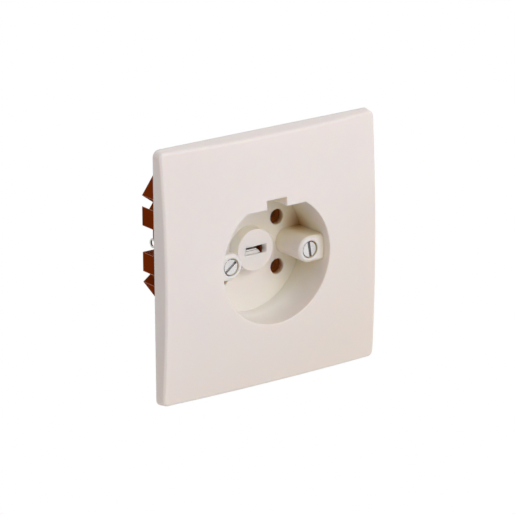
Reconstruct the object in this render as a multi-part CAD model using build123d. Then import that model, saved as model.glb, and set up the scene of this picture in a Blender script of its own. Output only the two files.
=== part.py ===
from build123d import *
import math
import os

# Millimetres, +Z up. The wall plane is y = 0, the front faces -Y and the base goes into the wall at +Y.

# Cover plate
plate_side = 80.6
plate_corner_r = 2.2
corner_height = 2.9
edge_rise = 1.9
centre_rise = 1.05
side_inset = 0.5
front_edge = 0.5
side_wall = 2.2
front_wall = 1.5
hollow_inset = 7.0
hollow_r = plate_side / 2 - hollow_inset
hollow_depth = 2.2

# Round recess in the cover
recess_r = 20.0
recess_floor_y = 8.35
recess_flat_z = 16.8
key_width = 7.4
key_top_z = 19.65
well_wall = 1.8
floor_thickness = 2.0

# Raised disc with the flat earth slot
disc_r = 6.7
disc_face_y = 4.25
disc_wall = 1.0
earth_z = 0.6
slot_height = 2.7
slot_mouth_half = 4.45
slot_throat_half = 3.05
slot_throat_y = disc_face_y + 0.75

# Pin holes
right_pin_x = 11.1
left_pin_x = 9.8
upper_pin_z = 8.2
lower_pin_z = 7.8
pin_hole_r = 2.5

# Posts that carry the cover screws
post_x = 14.8
post_face_y = -3.95
post_r = 4.15
post_edge = 0.7

# Cover screws with slotted cheese heads, and their nuts
screw_r = 1.3
screw_head_r = 2.4
screw_head_height = 1.7
screw_head_sink = 0.35
screw_slot_width = 0.9
screw_slot_depth = 0.8
left_slot_angle = -53.0
right_slot_angle = 8.5
screw_hole_r = 1.6
head_hole_r = 2.8
nut_across_flats = 5.0
nut_height = 3.0
screw_end_past_nut = 1.15
thread_clearance = 0.05

# Mounting yoke of sheet steel
yoke_inset = 5.0
yoke_side = plate_side - 2 * yoke_inset
yoke_corner_r = 6.0
yoke_thickness = 1.0
box_screw_spacing = 60.0
box_slot_width = 3.6
box_slot_length = 7.0
yoke_lap = 2.0
leg_width = 12.0
leg_gap = 0.4
leg_bend_r = 0.9
leg_root = 4.0
leg_hook = 4.2

# Base moulding
rim_r = 25.5
rim_depth = 13.2
base_depth = 36.2
base_half_x = 20.0
base_half_z = 21.5
base_corner_x = 14.5
base_corner_z = 14.0
well_clearance = 0.4
floor_clearance = 0.3
base_front_y = recess_floor_y + floor_thickness + floor_clearance
screw_end_y = base_front_y + nut_height + screw_end_past_nut

# Grooves and channels at the back of the base
groove_width = 2.8
groove_depth = 5.0
groove_length = 11.0
groove_front_y = base_depth - groove_length
channel_half_height = 4.3
channel_depth = 5.7
channel_floor_y = base_depth - channel_depth
pocket_wall = 0.9
pocket_depth = 3.4
pocket_inner_x = 16.0

# Terminals, turned to the back
terminal_side = 6.8
terminal_length = 9.0
terminal_recess = 4.0
terminal_back_y = base_depth - terminal_recess
terminal_front_y = terminal_back_y - terminal_length
terminal_shift = 0.8
chamber_clearance = 0.4
chamber_half = terminal_side / 2 + chamber_clearance
wire_hole_side = 3.6
wire_hole_setback = 4.0
wire_hole_y = terminal_back_y - wire_hole_setback
wire_channel_width = 4.4
wire_channel_y = wire_hole_y - 2.0
grub_screw_r = 1.9
grub_screw_front_y = wire_hole_y + 0.2
grub_screw_back_y = terminal_back_y + 0.4

# Live and neutral contacts, put in from the back
guide_wall = 3.0
guide_hole_r = 2.7
chamber_front_y = base_front_y + guide_wall
sleeve_outer_r = 2.9
sleeve_inner_r = 2.45
sleeve_root = 2.0
sleeve_slit_end_y = terminal_front_y - sleeve_root
sleeve_slit_width = 0.8
spring_thickness = 0.45
spring_setback = 1.55
spring_front_y = chamber_front_y + spring_setback
spring_width = 4.0
spring_leg_cut = 1.3

# Earth contact, two thin blades between two leaves with bent tips, in a turret behind the disc
turret_width = 8.4
turret_height = 5.3
turret_clearance = 0.3
turret_front_y = disc_face_y + disc_wall + turret_clearance
leaf_width = 5.3
leaf_thickness = 0.4
leaf_offset = 0.8
tip_offset = 1.35
tip_depth = 1.1
blade_width = 4.1
blade_thickness = 0.3
blade_gap = 0.7
blade_front_y = turret_front_y + 1.0
contact_clearance = 0.3
tenon_width = 3.0
tenon_height = 1.0

# Wire clips that hold the earth terminal
wire_r = 0.27
eye_r = 1.27
eye_setback = 5.2
eye_inset = 0.4
eye_x = base_half_x - eye_inset
eye_y = base_depth - eye_setback
eye_z = -0.25
wire_groove_margin = 0.25


def box(x0, x1, y0, y1, z0, z1):
    centre = Location(((x0 + x1) / 2, (y0 + y1) / 2, (z0 + z1) / 2))
    return centre * Box(abs(x1 - x0), abs(y1 - y0), abs(z1 - z0))


def plan(y):
    """Sketch plane parallel to the wall, with x to the right and z up, facing the front."""
    return Plane(origin=(0, y, 0), x_dir=(1, 0, 0), z_dir=(0, -1, 0))


def prism(sketch, y0, y1):
    """Extrude a sketch drawn in x and z between two depths."""
    return extrude(plan(y0) * sketch, amount=y0 - y1)


def rod(x, z, radius, y0, y1):
    return prism(Pos(x, z) * Circle(radius), y0, y1)


def domed_block(sink, reach, back_y):
    """Block whose front is the plate's dome, lowered by sink, over a square of half side reach.

    The dome rises from the corners to the middles of the sides and again to the centre, and is a
    parabola along every row and column, so three by three control points give it exactly.
    """
    stretch = (reach / (plate_side / 2)) ** 2
    rows = []
    for i in (-1, 0, 1):
        u = stretch if i else -stretch
        row = []
        for j in (-1, 0, 1):
            v = stretch if j else -stretch
            height = corner_height + edge_rise * (2 - u - v) + centre_rise * (1 - u) * (1 - v)
            row.append(Vector(i * reach, sink - height, j * reach))
        rows.append(row)
    dome = Face.make_bezier_surface(rows)
    tall = Solid.extrude(dome, Vector(0, 60, 0))
    return tall & box(-reach, reach, -40, back_y, -reach, reach)


def recess_sketch():
    """Circle cut flat at the top, with a key notch that rises over the flat."""
    height = recess_flat_z + recess_r
    round_part = Circle(recess_r) & Pos(0, (recess_flat_z - recess_r) / 2) * Rectangle(2 * recess_r, height)
    return round_part + Pos(0, key_top_z / 2) * Rectangle(key_width, key_top_z)


def screw_post(side):
    """Post, round towards the axis and centred on its screw, running into the recess wall outside."""
    bar = Pos(side * (post_x + post_r), 0) * Rectangle(2 * post_r, 2 * post_r)
    post = prism(Pos(side * post_x, 0) * Circle(post_r) + bar, post_face_y, recess_floor_y + floor_thickness)
    post = chamfer(post.edges().group_by(Axis.Y)[0], post_edge)
    return post & rod(0, 0, recess_r + 0.5, -10, recess_floor_y + floor_thickness)


def pin_centre(side, level):
    """Place of a pin in x and z. The side is -1 on the left, and the level is -1 below."""
    x = right_pin_x if side > 0 else -left_pin_x
    z = upper_pin_z if level > 0 else -lower_pin_z
    return x, z


def earth_slot():
    """Flat slot whose ends slope from a wider mouth to the throat."""
    left = [
        (-slot_mouth_half, disc_face_y - 1),
        (-slot_mouth_half, disc_face_y),
        (-slot_throat_half, slot_throat_y),
        (-slot_throat_half, disc_face_y + disc_wall + 1),
    ]
    outline = Polygon(*left, *[(-x, y) for x, y in reversed(left)], align=None)
    return extrude(Pos(0, 0, earth_z) * outline, amount=slot_height / 2, both=True)


def turret_sketch(clearance):
    return Pos(0, earth_z) * Rectangle(turret_width + 2 * clearance, turret_height + 2 * clearance)


def front_cover():
    half = plate_side / 2
    well_back_y = recess_floor_y + floor_thickness
    outline = RectangleRounded(plate_side, plate_side, plate_corner_r)
    taper = math.degrees(math.atan(side_inset / corner_height))
    body = extrude(plan(0) * outline, amount=12, taper=taper)
    body = body & domed_block(0.0, half + 2, 1.0)
    front_edges = [e for e in body.edges() if e.center().Y < 0.3 - corner_height]
    body = chamfer(front_edges, front_edge)
    inner_side = plate_side - 2 * side_wall
    shallow_y = front_wall - corner_height
    hollow_y = shallow_y - hollow_depth
    body = body - prism(RectangleRounded(inner_side, inner_side, plate_corner_r), shallow_y, 1)
    body = body - rod(0, 0, hollow_r, hollow_y, 1)
    body = body + rod(0, 0, recess_r + well_wall, hollow_y - 1, well_back_y)
    body = body - prism(recess_sketch(), -14, recess_floor_y)
    body = body + rod(0, earth_z, disc_r, disc_face_y, well_back_y)
    body = body + screw_post(-1) + screw_post(1)
    body = body - earth_slot()
    body = body - prism(turret_sketch(turret_clearance), disc_face_y + disc_wall, well_back_y + 1)
    seat_y = post_face_y + screw_head_sink + screw_head_height
    for side in (-1, 1):
        for level in (-1, 1):
            body = body - rod(*pin_centre(side, level), pin_hole_r, recess_floor_y - 1, well_back_y + 1)
        body = body - rod(side * post_x, 0, head_hole_r, post_face_y - 1, seat_y)
        body = body - rod(side * post_x, 0, screw_hole_r, seat_y - 1, well_back_y + 1)
    return body


def driver_slot(x, z, angle, y0, y1):
    return prism(Pos(x, z) * Rot(0, 0, angle) * Rectangle(screw_slot_width, 3 * screw_head_r), y0, y1)


def cover_screw(side, angle):
    """Screw with a cheese head, sunk in its post."""
    x = side * post_x
    head_y = post_face_y + screw_head_sink
    body = rod(x, 0, screw_head_r, head_y, head_y + screw_head_height)
    body = body + rod(x, 0, screw_r, head_y + screw_head_height, screw_end_y)
    return body - driver_slot(x, 0, angle, head_y - 1, head_y + screw_slot_depth)


def cover_nut(side):
    hexagon = RegularPolygon(nut_across_flats / 2, 6, major_radius=False)
    ring = hexagon - Circle(screw_r + thread_clearance)
    return prism(Pos(side * post_x, 0) * ring, base_front_y, base_front_y + nut_height)


def yoke_leg(level):
    """Leg bent back along the rim of the base, with a hook that grips the rim from behind."""
    z_leg = level * (rim_r + leg_gap + yoke_thickness / 2)
    y_top = -yoke_thickness / 2
    y_hook = rim_depth + yoke_thickness / 2
    root = (0, y_top, z_leg + level * leg_root)
    corners = (root, (0, y_top, z_leg), (0, y_hook, z_leg), (0, y_hook, z_leg - level * leg_hook))
    path = FilletPolyline(*corners, radius=leg_bend_r)
    start = Plane(origin=path @ 0, z_dir=path % 0, x_dir=(1, 0, 0))
    return sweep(start * Rectangle(leg_width, yoke_thickness), path=path)


def mounting_yoke():
    """Square sheet on the wall with a round window, two box screw slots and two bent legs."""
    sheet = RectangleRounded(yoke_side, yoke_side, yoke_corner_r) - Circle(rim_r - yoke_lap)
    window_end = rim_r + yoke_thickness + 1.2
    sheet = sheet - Rectangle(leg_width + 2.0, 2 * window_end)
    for side in (-1, 1):
        sheet = sheet - Pos(side * box_screw_spacing / 2, 0) * SlotOverall(box_slot_length, box_slot_width)
    return prism(sheet, -yoke_thickness, 0) + yoke_leg(1) + yoke_leg(-1)


def base_outline():
    quarter = [(base_half_x, base_corner_z), (base_corner_x, base_half_z)]
    upper = quarter + [(-x, z) for x, z in reversed(quarter)]
    return Polygon(*upper, *[(-x, -z) for x, z in upper], align=None)


def groove_frame():
    """Corner of the outline, the inward normal of its sloping side and the direction along that side."""
    dx = base_corner_x - base_half_x
    dz = base_half_z - base_corner_z
    length = math.hypot(dx, dz)
    along = Vector(dx / length, dz / length)
    inward = Vector(-dz / length, dx / length)
    return Vector(base_half_x, base_corner_z), inward, along


def groove_sketch():
    """Groove cut square to the sloping side, with one wall through the corner of the outline."""
    corner, inward, along = groove_frame()
    near = corner - inward * 4
    far = corner + inward * groove_depth
    return Polygon(near, far, far - along * groove_width, near - along * groove_width, align=None)


def slope_pocket_sketch():
    """Pocket behind the sloping side, open to the groove."""
    corner, inward, along = groove_frame()
    outer = corner + inward * pocket_wall - along * 0.2
    inner = corner + inward * (groove_depth - pocket_wall) - along * 0.2
    return Polygon(outer, inner, inner + along * pocket_depth, outer + along * pocket_depth, align=None)


def side_pocket_sketch():
    """Pocket behind the flat side, open to the channel."""
    outer_x = base_half_x - pocket_wall
    centre = Pos((pocket_inner_x + outer_x) / 2, channel_half_height + pocket_depth / 2)
    return centre * Rectangle(outer_x - pocket_inner_x, pocket_depth + 0.4)


def quadrant(sketch, side, level):
    """Copy of a sketch drawn in the upper right quadrant, mirrored into another one."""
    if side < 0:
        sketch = mirror(sketch, Plane.YZ)
    if level < 0:
        sketch = mirror(sketch, Plane.XZ)
    return sketch


def clip_groove(side):
    """Groove for the shank of a wire clip and the space round its eye."""
    half = wire_r + wire_groove_margin
    eye_half = eye_r + half
    front_y = eye_y - eye_half
    back_y = channel_floor_y + 1
    shank = box(0, side * 25, front_y, back_y, eye_z - half, eye_z + half)
    eye = box(side * (eye_x - half), side * 25, front_y, back_y, eye_z - eye_half, eye_z + eye_half)
    return shank + eye


def base_body():
    body = rod(0, 0, rim_r, 0, rim_depth) + prism(base_outline(), rim_depth, base_depth)
    body = body - rod(0, 0, recess_r + well_wall + well_clearance, -1, base_front_y)
    chamber = Rectangle(2 * chamber_half, 2 * chamber_half)
    wire_way = Rectangle(wire_channel_width, base_half_z)
    pocket_back_y = base_depth - pocket_wall
    for side in (-1, 1):
        for level in (-1, 1):
            body = body - prism(quadrant(groove_sketch(), side, level), groove_front_y, base_depth + 1)
            body = body - prism(quadrant(slope_pocket_sketch(), side, level), channel_floor_y, pocket_back_y)
            body = body - prism(quadrant(side_pocket_sketch(), side, level), channel_floor_y, pocket_back_y)
            x, z = pin_centre(side, level)
            terminal_z = z + level * terminal_shift
            way_z = terminal_z + level * base_half_z / 2
            body = body - prism(Pos(x, terminal_z) * chamber, chamber_front_y, base_depth + 1)
            body = body - prism(Pos(x, way_z) * wire_way, wire_channel_y, base_depth + 1)
            body = body - rod(x, z, guide_hole_r, base_front_y - 1, chamber_front_y + 1)
        nut_seat = Pos(side * post_x, 0) * RegularPolygon(nut_across_flats / 2, 6, major_radius=False)
        body = body - prism(nut_seat, base_front_y - 1, base_front_y + nut_height)
        body = body - rod(side * post_x, 0, screw_hole_r, base_front_y - 1, screw_end_y + 2)
        body = body - clip_groove(side)
    half = channel_half_height
    body = body - box(-25, 25, channel_floor_y, base_depth + 1, -half, half)
    earth_chamber = Pos(0, earth_z) * Rectangle(2 * chamber_half, 2 * chamber_half)
    body = body - prism(earth_chamber, terminal_front_y, base_depth + 1)
    body = body + prism(turret_sketch(0), turret_front_y, base_front_y + 1)
    pocket_width = leaf_width + 2 * contact_clearance
    pocket_height = 2 * (tip_offset + leaf_thickness + contact_clearance)
    pocket = Pos(0, earth_z) * Rectangle(pocket_width, pocket_height)
    return body - prism(pocket, turret_front_y - 1, terminal_front_y + 1)


def terminal_block(x, z, wire_axis):
    """Block with a square opening for the wire and a hole for the screw that clamps it."""
    body = prism(Pos(x, z) * Rectangle(terminal_side, terminal_side), terminal_front_y, terminal_back_y)
    body = body - rod(x, z, grub_screw_r + thread_clearance, wire_hole_y, terminal_back_y + 1)
    long = terminal_side + 2
    size = (long, wire_hole_side) if wire_axis == "x" else (wire_hole_side, long)
    front_y = wire_hole_y - wire_hole_side / 2
    return body - prism(Pos(x, z) * Rectangle(*size), front_y, front_y + wire_hole_side)


def contact(side, level):
    """Slit sleeve for a plug pin, in one piece with its terminal block."""
    x, z = pin_centre(side, level)
    body = rod(x, z, sleeve_outer_r, chamber_front_y, terminal_front_y)
    body = body - prism(Pos(x, z) * Rectangle(8, sleeve_slit_width), chamber_front_y - 1, sleeve_slit_end_y)
    body = body + terminal_block(x, z + level * terminal_shift, "z")
    return body - rod(x, z, sleeve_inner_r, chamber_front_y - 1, terminal_front_y + 1.5)


def contact_spring(side, level):
    """Flat spring bent to a U that presses the two halves of a slit sleeve together."""
    inner = 2 * sleeve_outer_r
    outer = inner + 2 * spring_thickness
    band = Rectangle(outer, outer) - Rectangle(inner, inner)
    band = band - Pos(0, -level * outer / 2) * Rectangle(outer + 1, 2 * spring_leg_cut)
    return prism(Pos(*pin_centre(side, level)) * band, spring_front_y, spring_front_y + spring_width)


def terminal_screw(x, z, angle):
    """Grub screw with a slot turned to the back."""
    body = rod(x, z, grub_screw_r, grub_screw_front_y, grub_screw_back_y)
    return body - driver_slot(x, z, angle, grub_screw_back_y - screw_slot_depth, grub_screw_back_y + 1)


def tenon(y0, y1):
    return prism(Pos(0, earth_z) * Rectangle(tenon_width, tenon_height), y0, y1)


def guide_leaf(level):
    """Flat leaf whose tip bends outwards, so that it guides the plug's pin."""
    bend_y = turret_front_y + tip_depth
    inner = [(turret_front_y, tip_offset), (bend_y, leaf_offset), (terminal_front_y, leaf_offset)]
    outer = [(y, offset + leaf_thickness) for y, offset in reversed(inner)]
    side_view = Polygon(*[(y, earth_z + level * offset) for y, offset in inner + outer], align=None)
    return extrude(Plane.YZ * side_view, amount=leaf_width / 2, both=True)


def earth_contact():
    """Two leaves and two blades on a web that lies on the earth terminal."""
    web_y = terminal_front_y - leaf_thickness
    web = Pos(0, earth_z) * Rectangle(leaf_width, 2 * (leaf_offset + leaf_thickness))
    blades = Rectangle(blade_width, blade_gap + 2 * blade_thickness) - Rectangle(blade_width + 1, blade_gap)
    body = guide_leaf(1) + guide_leaf(-1) + prism(web, web_y, terminal_front_y)
    body = body + prism(Pos(0, earth_z) * blades, blade_front_y, web_y)
    return body - tenon(web_y - 1, terminal_front_y + 1)


def earth_terminal():
    """Earth terminal block with the tenon that holds the contact."""
    tenon_y = terminal_front_y - leaf_thickness - 0.3
    return terminal_block(0, earth_z, "x") + tenon(tenon_y, terminal_front_y)


def clip_wire(side):
    """Spring wire with a flat eye at the side of the base, laid in a groove against the earth terminal."""
    x_end = side * (terminal_side / 2 + wire_r)
    start = Plane(origin=(x_end, eye_y - eye_r, eye_z), z_dir=(side, 0, 0))
    shank = extrude(start * RegularPolygon(wire_r, 6), amount=eye_x - abs(x_end))
    eye_plane = Plane(origin=(side * eye_x, eye_y, eye_z), z_dir=(1, 0, 0))
    eye = eye_plane * (Circle(eye_r + wire_r) - Circle(eye_r - wire_r))
    return shank + extrude(eye, amount=wire_r, both=True)


def all_parts():
    parts = {"front_cover": front_cover(), "mounting_yoke": mounting_yoke(), "base_body": base_body()}
    sides = {"left": (-1, left_slot_angle), "right": (1, right_slot_angle)}
    for name, (side, angle) in sides.items():
        parts["cover_screw_" + name] = cover_screw(side, angle)
        parts["cover_nut_" + name] = cover_nut(side)
        parts["clip_wire_" + name] = clip_wire(side)
    poles = {"line_1": (-1, 1, 20), "line_2": (1, 1, -35), "line_3": (1, -1, 60), "neutral": (-1, -1, -10)}
    for name, (side, level, angle) in poles.items():
        parts["contact_" + name] = contact(side, level)
        parts["contact_spring_" + name] = contact_spring(side, level)
        x, z = pin_centre(side, level)
        parts["terminal_screw_" + name] = terminal_screw(x, z + level * terminal_shift, angle)
    parts["earth_contact"] = earth_contact()
    parts["earth_terminal"] = earth_terminal()
    parts["terminal_screw_earth"] = terminal_screw(0, earth_z, 80)
    return parts


os.makedirs("parts", exist_ok=True)
for node, shape in all_parts().items():
    export_step(shape, "parts/" + node + ".step")
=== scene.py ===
import math

import bmesh
import bpy
from mathutils import Matrix, Vector

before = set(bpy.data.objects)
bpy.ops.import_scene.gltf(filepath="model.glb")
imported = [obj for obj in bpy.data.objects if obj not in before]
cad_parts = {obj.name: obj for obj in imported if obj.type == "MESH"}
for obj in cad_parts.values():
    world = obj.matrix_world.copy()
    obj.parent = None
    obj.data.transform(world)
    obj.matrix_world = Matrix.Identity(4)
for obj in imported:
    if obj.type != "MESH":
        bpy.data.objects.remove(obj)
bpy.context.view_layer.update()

MM = 0.001

# Places and directions on the socket that its tints and its painted light and shade go by

DISC_FACE_Y = 4.25 * MM
RECESS_FLOOR_Y = 8.35 * MM
POST_CORNER = (19.5 * MM, RECESS_FLOOR_Y, 4.7 * MM)
SLOT_RIGHT_END = (2.9 * MM, 5.0 * MM, 0.6 * MM)
BEHIND_SLOT = (0.0, 10.0 * MM, 0.6 * MM)
INWARDS = (0.0, 1.0, 0.0)
OUTWARDS = (0.0, -1.0, 0.0)

# Numbers of the sockets of Blender's colour mix node

MIX_FACTOR, MIX_LOW, MIX_HIGH, MIX_RESULT = 0, 6, 7, 2


# Node helpers

def new_material(name):
    material = bpy.data.materials.new(name)
    material.use_nodes = True
    tree = material.node_tree
    return material, tree, tree.nodes["Principled BSDF"]


def add_node(tree, kind, **values):
    node = tree.nodes.new(kind)
    for key, value in values.items():
        setattr(node, key, value)
    return node


def place(tree):
    """Place on the object, in metres."""
    return add_node(tree, "ShaderNodeTexCoord").outputs["Object"]


def noise(tree, scale, detail, stretch=None):
    """Noise over the object's own coordinates, with scale in cycles a metre."""
    vector = place(tree)
    if stretch:
        mapping = add_node(tree, "ShaderNodeMapping")
        mapping.inputs["Scale"].default_value = stretch
        tree.links.new(vector, mapping.inputs["Vector"])
        vector = mapping.outputs["Vector"]
    node = add_node(tree, "ShaderNodeTexNoise")
    node.inputs["Scale"].default_value = scale
    node.inputs["Detail"].default_value = detail
    tree.links.new(vector, node.inputs["Vector"])
    return node.outputs["Fac"]


def remap(tree, source, from_low, from_high, to_low=0.0, to_high=1.0):
    node = add_node(tree, "ShaderNodeMapRange")
    node.inputs["From Min"].default_value = from_low
    node.inputs["From Max"].default_value = from_high
    node.inputs["To Min"].default_value = to_low
    node.inputs["To Max"].default_value = to_high
    tree.links.new(source, node.inputs["Value"])
    return node.outputs["Result"]


def mix_colour(tree, factor, low, high):
    """Colour from low to high, where each is a colour or the output of a node."""
    node = add_node(tree, "ShaderNodeMix", data_type="RGBA")
    tree.links.new(factor, node.inputs[MIX_FACTOR])
    for number, value in ((MIX_LOW, low), (MIX_HIGH, high)):
        if isinstance(value, tuple):
            node.inputs[number].default_value = (*value, 1.0)
        else:
            tree.links.new(value, node.inputs[number])
    return node.outputs[MIX_RESULT]


def product(tree, first, second):
    node = add_node(tree, "ShaderNodeMath", operation="MULTIPLY")
    tree.links.new(first, node.inputs[0])
    tree.links.new(second, node.inputs[1])
    return node.outputs["Value"]


def rounded_normal(tree, radius):
    """Surface direction as if the edges were rounded by radius."""
    node = add_node(tree, "ShaderNodeBevel", samples=8)
    node.inputs["Radius"].default_value = radius
    return node.outputs["Normal"]


# Masks from 0 to 1

def enclosed(tree, reach, low, high):
    """1 where the share of open surroundings within reach is low and 0 where it is high."""
    node = add_node(tree, "ShaderNodeAmbientOcclusion", samples=8)
    node.inputs["Distance"].default_value = reach
    return remap(tree, node.outputs["AO"], low, high, 1.0, 0.0)


def along(tree, direction, start, end):
    """0 at start and 1 at end, measured in metres along a direction."""
    node = add_node(tree, "ShaderNodeVectorMath", operation="DOT_PRODUCT")
    node.inputs[1].default_value = Vector(direction).normalized()
    tree.links.new(place(tree), node.inputs[0])
    return remap(tree, node.outputs["Value"], start, end)


def near(tree, point, reach):
    """1 at a point of the object, fading to 0 at reach from it."""
    node = add_node(tree, "ShaderNodeVectorMath", operation="DISTANCE")
    node.inputs[1].default_value = point
    tree.links.new(place(tree), node.inputs[0])
    return remap(tree, node.outputs["Value"], 0.0, reach, 1.0, 0.0)


def highlit_edges(tree, radius):
    """1 on outer edges and 0 on flat faces and in inner corners, for painted edge highlights."""
    bend = add_node(tree, "ShaderNodeVectorMath", operation="DOT_PRODUCT")
    tree.links.new(rounded_normal(tree, radius), bend.inputs[0])
    geometry = add_node(tree, "ShaderNodeNewGeometry")
    tree.links.new(geometry.outputs["True Normal"], bend.inputs[1])
    edge = remap(tree, bend.outputs["Value"], 0.75, 0.98, 1.0, 0.0)
    inner_corner = enclosed(tree, reach=1.5 * MM, low=0.5, high=0.9)
    return product(tree, edge, remap(tree, inner_corner, 0.0, 1.0, 1.0, 0.0))


# Materials

def tint(tree, shader, mask, colour):
    """Lays a colour over the shader's present one where the mask is 1."""
    base = shader.inputs["Base Color"]
    tree.links.new(mix_colour(tree, mask, base.links[0].from_socket, colour), base)


def moulded(name, colour, shade, roughness, edge_radius):
    """Moulded plastic with faint flow colour, a little unevenness of gloss and soft edges."""
    material, tree, shader = new_material(name)
    flow = remap(tree, noise(tree, scale=35.0, detail=2.0), 0.35, 0.65)
    tree.links.new(mix_colour(tree, flow, colour, shade), shader.inputs["Base Color"])
    waves = noise(tree, scale=60.0, detail=0.0)
    gloss = remap(tree, waves, 0.2, 0.8, roughness - 0.02, roughness + 0.02)
    tree.links.new(gloss, shader.inputs["Roughness"])
    shader.inputs["IOR"].default_value = 1.5
    tree.links.new(rounded_normal(tree, edge_radius), shader.inputs["Normal"])
    return material, tree, shader


def cover_with_painted_shade():
    """The cover's plastic: darker and yellower towards its foot, the darkening being painted shade, with
    painted light and shade in the recess and painted shade in slot and holes.
    """
    material, tree, shader = moulded(
        "cover_plastic",
        colour=(0.81, 0.74, 0.72),
        shade=(0.80, 0.73, 0.71),
        roughness=0.3,
        edge_radius=0.6 * MM,
    )
    # Painted shade: darker and yellower towards the lower right
    footwards = along(tree, (0.5, 0.0, -1.0), start=-10 * MM, end=45 * MM)
    tint(tree, shader, footwards, (0.765, 0.68, 0.62))
    paint_recess_light_and_shade(tree, shader)
    paint_depth_shade(tree, shader)
    shader.inputs["Subsurface Weight"].default_value = 0.5
    shader.inputs["Subsurface Radius"].default_value = (1.0, 0.7, 0.45)
    shader.inputs["Subsurface Scale"].default_value = 3.0 * MM
    return material


def paint_recess_light_and_shade(tree, shader):
    """Painted light and shade in the recess: lighter cream where it is shaded, tan at its right, pale at the
    wall below, brown over the right post.
    """
    shade_reach = 16 * MM
    shaded = enclosed(tree, shade_reach, low=0.05, high=0.8)
    # Painted bounce light: lighter cream where the recess is shaded
    tint(tree, shader, shaded, (0.95, 0.92, 0.83))
    # Painted shade: tan in the shaded right of the recess
    right_side = along(tree, (1.0, 0.0, 0.6), start=-4 * MM, end=16 * MM)
    tint(tree, shader, product(tree, shaded, right_side), (0.80, 0.68, 0.45))
    # Painted light: paler lower wall of the recess where it is half shaded
    half_shaded = enclosed(tree, shade_reach, low=0.45, high=0.95)
    below = along(tree, (-0.2, 0.0, -1.0), start=4 * MM, end=17 * MM)
    off_the_floor = along(tree, OUTWARDS, start=-8.2 * MM, end=-4 * MM)
    lower_wall = product(tree, below, off_the_floor)
    tint(tree, shader, product(tree, half_shaded, lower_wall), (1.0, 0.95, 0.90))
    # Painted shade: brown in the corner over the right post
    corner = near(tree, POST_CORNER, reach=6.6 * MM)
    tint(tree, shader, product(tree, corner, shaded), (0.45, 0.19, 0.0))


def paint_depth_shade(tree, shader):
    """Painted shade: dark right end of the earth slot and brown walls of the pin holes."""
    # Painted shade: dark right end of the earth slot
    into_slot = along(tree, INWARDS, start=DISC_FACE_Y, end=DISC_FACE_Y + 0.2 * MM)
    slot_end = near(tree, SLOT_RIGHT_END, reach=2.3 * MM)
    tint(tree, shader, product(tree, slot_end, into_slot), (0.10, 0.05, 0.02))
    # Painted shade: brown walls deeper in the pin holes
    in_holes = along(tree, INWARDS, start=RECESS_FLOOR_Y, end=RECESS_FLOOR_Y + 2.0 * MM)
    tint(tree, shader, in_holes, (0.60, 0.25, 0.07))


def brown_base():
    """The base's dull brown plastic, with a painted glow in its holes, painted highlights on its edges and
    painted shade behind the earth slot.
    """
    material, tree, shader = moulded(
        "base_plastic",
        colour=(0.22, 0.030, 0.003),
        shade=(0.19, 0.024, 0.002),
        roughness=0.35,
        edge_radius=0.3 * MM,
    )
    # Painted light: orange glow deep in the base's holes
    holes = enclosed(tree, reach=6 * MM, low=0.0, high=0.5)
    sunk = along(tree, INWARDS, start=9.5 * MM, end=12 * MM)
    tint(tree, shader, product(tree, holes, sunk), (1.0, 0.40, 0.10))
    # Painted shade: near black behind the earth slot
    tint(tree, shader, near(tree, BEHIND_SLOT, reach=9 * MM), (0.04, 0.008, 0.002))
    # Painted highlights: lighter colour on the base's outer edges
    tint(tree, shader, highlit_edges(tree, radius=0.4 * MM), (0.80, 0.42, 0.32))
    shader.inputs["Specular IOR Level"].default_value = 0.0
    return material


def metal(
    name, colour, shade, roughness, stretch=(1.0, 1.0, 1.0), crevice_shade_limit=0.9, crevice_shade_colour=(0.14, 0.13, 0.13), metallic=1.0
):
    """Worked metal with brushed grain, slight tarnish and painted shade darkening its slots and crevices."""
    material, tree, shader = new_material(name)
    tarnish = remap(tree, noise(tree, scale=160.0, detail=2.0), 0.35, 0.68)
    tree.links.new(mix_colour(tree, tarnish, colour, shade), shader.inputs["Base Color"])
    # Painted shade: darker in slots and crevices
    tint(tree, shader, enclosed(tree, reach=1.5 * MM, low=0.0, high=crevice_shade_limit), crevice_shade_colour)
    shader.inputs["Metallic"].default_value = metallic
    grain = noise(tree, scale=1500.0, detail=3.0, stretch=stretch)
    brushed = remap(tree, grain, 0.3, 0.7, roughness - 0.07, roughness + 0.09)
    tree.links.new(brushed, shader.inputs["Roughness"])
    tree.links.new(rounded_normal(tree, 0.12 * MM), shader.inputs["Normal"])
    return material


ACROSS_Y = (1.0, 8.0, 1.0)
ACROSS_Z = (1.0, 1.0, 12.0)

cover_plastic = cover_with_painted_shade()
base_plastic = brown_base()
yoke_steel = metal("yoke_steel", (0.63, 0.63, 0.61), (0.50, 0.50, 0.47), roughness=0.36, stretch=ACROSS_Z)
screw_steel = metal("screw_steel", (0.78, 0.76, 0.75), (0.66, 0.65, 0.65), roughness=0.28)
contact_brass = metal(
    "contact_brass", (0.80, 0.58, 0.28), (0.62, 0.40, 0.17), roughness=0.3, stretch=ACROSS_Y
)
earth_metal = metal(
    "earth_metal",
    (1.0, 0.97, 0.95),
    (0.97, 0.93, 0.91),
    roughness=0.4,
    stretch=ACROSS_Y,
    crevice_shade_limit=0.5,
    crevice_shade_colour=(0.08, 0.03, 0.015),
    metallic=0.1,
)
spring_steel = metal("spring_steel", (0.62, 0.62, 0.59), (0.46, 0.46, 0.42), roughness=0.3)

# The first line that fits a node's name gives its finish

FINISHES = (
    ("front_cover", cover_plastic),
    ("base_body", base_plastic),
    ("mounting_yoke", yoke_steel),
    ("earth_contact", earth_metal),
    ("earth_terminal", contact_brass),
    ("contact_spring_", spring_steel),
    ("clip_wire_", spring_steel),
    ("contact_", contact_brass),
    ("cover_screw_", screw_steel),
    ("cover_nut_", screw_steel),
    ("terminal_screw_", screw_steel),
)

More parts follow.
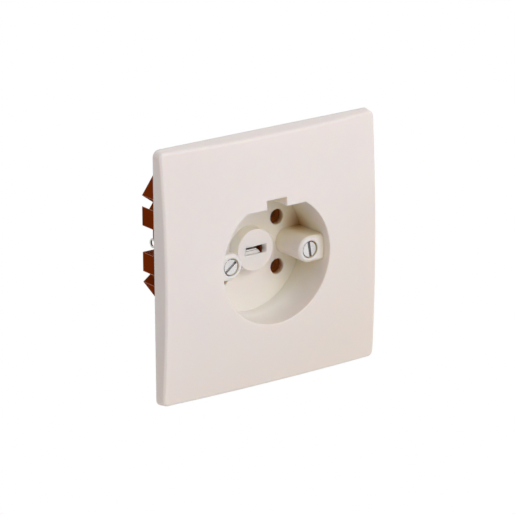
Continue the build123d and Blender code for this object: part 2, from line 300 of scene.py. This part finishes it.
for name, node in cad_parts.items():
    finish = next(finish for start, finish in FINISHES if name.startswith(start))
    node.data.materials.clear()
    node.data.materials.append(finish)


# Floor far under the object, as it would be under a socket held up in a studio

FLOOR_Z = -0.30
FLOOR_HALF = 6.0

floor_mesh = bpy.data.meshes.new("studio_floor")
shape = bmesh.new()
bmesh.ops.create_grid(shape, x_segments=1, y_segments=1, size=FLOOR_HALF)
shape.to_mesh(floor_mesh)
shape.free()
floor = bpy.data.objects.new("studio_floor", floor_mesh)
floor.location = (0.0, 0.0, FLOOR_Z)
bpy.context.scene.collection.objects.link(floor)


def backdrop_factor(tree):
    """1 for the rays that see the background directly, in a reflection or through glass."""
    path = add_node(tree, "ShaderNodeLightPath")
    total = path.outputs["Is Camera Ray"]
    for name in ("Is Glossy Ray", "Is Transmission Ray"):
        join = add_node(tree, "ShaderNodeMath", operation="MAXIMUM")
        tree.links.new(total, join.inputs[0])
        tree.links.new(path.outputs[name], join.inputs[1])
        total = join.outputs[0]
    return total


def pale_floor():
    """Matt floor that lights the object softly and looks white to the camera."""
    material, tree, shader = new_material("studio_floor")
    shader.inputs["Roughness"].default_value = 0.9
    cloudy = mix_colour(tree, noise(tree, scale=3.0, detail=3.0), (0.80, 0.80, 0.80), (0.82, 0.82, 0.82))
    tree.links.new(cloudy, shader.inputs["Base Color"])
    glow = add_node(tree, "ShaderNodeEmission")
    glow.inputs["Strength"].default_value = 1.0
    blend = add_node(tree, "ShaderNodeMixShader")
    tree.links.new(backdrop_factor(tree), blend.inputs["Fac"])
    tree.links.new(shader.outputs["BSDF"], blend.inputs[1])
    tree.links.new(glow.outputs["Emission"], blend.inputs[2])
    tree.links.new(blend.outputs["Shader"], tree.nodes["Material Output"].inputs["Surface"])
    return material


floor_mesh.materials.append(pale_floor())

# World: white where it is seen, softer where it lights the object

AMBIENT = 0.56
WHITE = (1.0, 1.0, 1.0, 1.0)

world = bpy.data.worlds.new("studio")
bpy.context.scene.world = world
world.use_nodes = True
tree = world.node_tree
background = tree.nodes["Background"]
background.inputs["Color"].default_value = WHITE
tree.links.new(remap(tree, backdrop_factor(tree), 0.0, 1.0, AMBIENT, 1.0), background.inputs["Strength"])


def soft_light(name, place_at, size, power):
    """Round lamp that faces the object."""
    lamp = bpy.data.lights.new(name, "AREA")
    lamp.shape = "DISK"
    lamp.size = size
    lamp.energy = power
    thing = bpy.data.objects.new(name, lamp)
    thing.location = place_at
    thing.rotation_euler = (-Vector(place_at)).to_track_quat("-Z", "Y").to_euler()
    bpy.context.scene.collection.objects.link(thing)


soft_light("key", place_at=(0.65, -2.4, 1.3), size=1.8, power=34.0)
soft_light("top", place_at=(0.3, -0.6, 2.6), size=1.6, power=4.0)

# Camera: long lens, seen from the left and a little above, with its angles in radians

CAMERA_AIM = Vector((0.0, 1.25 * MM, 0.0))
CAMERA_DISTANCE = 1166.4 * MM
AZIMUTH, ELEVATION, ROLL = -0.6245, 0.3111, -0.0064
SENSOR_WIDTH = 36.0
FRAME_PIXELS = 515.0
FOCAL_PIXELS = 3822.2
SHIFT_X_PIXELS, SHIFT_Y_PIXELS = -3.73, -3.17


def camera_axes(azimuth, elevation, roll):
    """Directions to the right, up and back from the view, turned about its axis by roll."""
    back = Vector((
        math.sin(azimuth) * math.cos(elevation),
        -math.cos(azimuth) * math.cos(elevation),
        math.sin(elevation),
    ))
    level = Vector((math.cos(azimuth), math.sin(azimuth), 0.0))
    upright = back.cross(level)
    right = math.cos(roll) * level + math.sin(roll) * upright
    up = math.cos(roll) * upright - math.sin(roll) * level
    return right, up, back


lens = bpy.data.cameras.new("camera")
lens.sensor_width = SENSOR_WIDTH
lens.lens = SENSOR_WIDTH * FOCAL_PIXELS / FRAME_PIXELS
lens.shift_x = SHIFT_X_PIXELS / FRAME_PIXELS
lens.shift_y = SHIFT_Y_PIXELS / FRAME_PIXELS
lens.clip_start = 0.05
lens.clip_end = 20.0
camera = bpy.data.objects.new("camera", lens)
right, up, back = camera_axes(AZIMUTH, ELEVATION, ROLL)
turn = Matrix((right, up, back)).transposed().to_4x4()
camera.matrix_world = Matrix.Translation(CAMERA_AIM + back * CAMERA_DISTANCE) @ turn
bpy.context.scene.collection.objects.link(camera)
bpy.context.scene.camera = camera
bpy.context.scene.view_settings.view_transform = "Standard"
